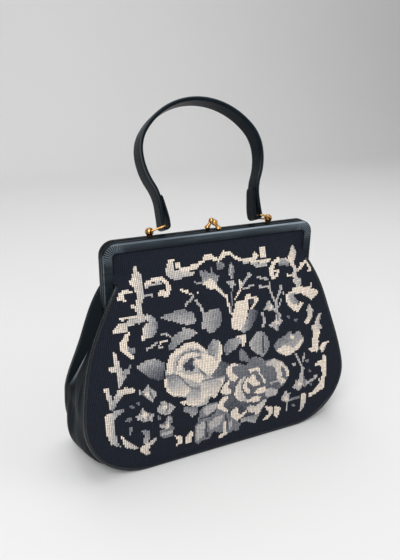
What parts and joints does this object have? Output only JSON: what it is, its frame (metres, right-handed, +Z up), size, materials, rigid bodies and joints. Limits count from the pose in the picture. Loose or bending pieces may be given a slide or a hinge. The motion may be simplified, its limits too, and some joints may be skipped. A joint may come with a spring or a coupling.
{
  "type": "tapestry handbag",
  "caption": "Frame handbag with a rose and scroll needlepoint front, pleated leather gusset, kiss-lock clasp and an arched leather strap handle on brass rings.",
  "frame": {"origin": "middle of the base, on the surface that the bag stands on", "axes": "+X to the bag's right seen from the front, +Y to its rear, +Z up"},
  "size_m": [0.2912, 0.0982, 0.3435],
  "materials": {
    "black_leather": "soft sheen, fine grain",
    "ground_wool": "needlepoint, matte",
    "cream_wool": "needlepoint, matte",
    "light_grey_wool": "needlepoint, matte",
    "mid_grey_wool": "needlepoint, matte",
    "lining_cloth": "plain weave, matte",
    "board": "plain",
    "frame_steel": "black lacquered",
    "brass": "polished, slightly worn"
  },
  "bodies": {
    "bag": {"rear_frame": "frame_steel", "rear_frame_leather": "black_leather", "left_hinge_rivet": "frame_steel", "right_hinge_rivet": "frame_steel", "rear_clasp_knob": "brass", "front_panel": "ground_wool", "rear_panel": "ground_wool", "front_piping": "black_leather", "rear_piping": "black_leather", "gusset": "black_leather", "lining": "lining_cloth", "base_board": "board", "cream_stitches": "cream_wool", "light_grey_stitches": "light_grey_wool", "mid_grey_stitches": "mid_grey_wool", "left_handle_stud": "brass", "right_handle_stud": "brass"},
    "front_half": {"front_frame": "frame_steel", "front_frame_leather": "black_leather", "front_clasp_knob": "brass"},
    "handle": {"handle_strap": "black_leather", "left_ring": "brass", "right_ring": "brass"}
  },
  "joints": [
    {"name": "frame_opening", "type": "hinge", "parent": "bag", "child": "front_half", "pos_m": [0, 0, 0.157], "axis": [1, 0, 0], "range_deg": [0, 60], "deforming": ["front_panel", "front_piping", "cream_stitches", "light_grey_stitches", "mid_grey_stitches", "gusset", "lining"]},
    {"name": "handle_swing", "type": "hinge", "parent": "bag", "child": "handle", "pos_m": [0, 0.00325, 0.2274], "axis": [1, 0, 0], "range_deg": [0, 44]}
  ]
}
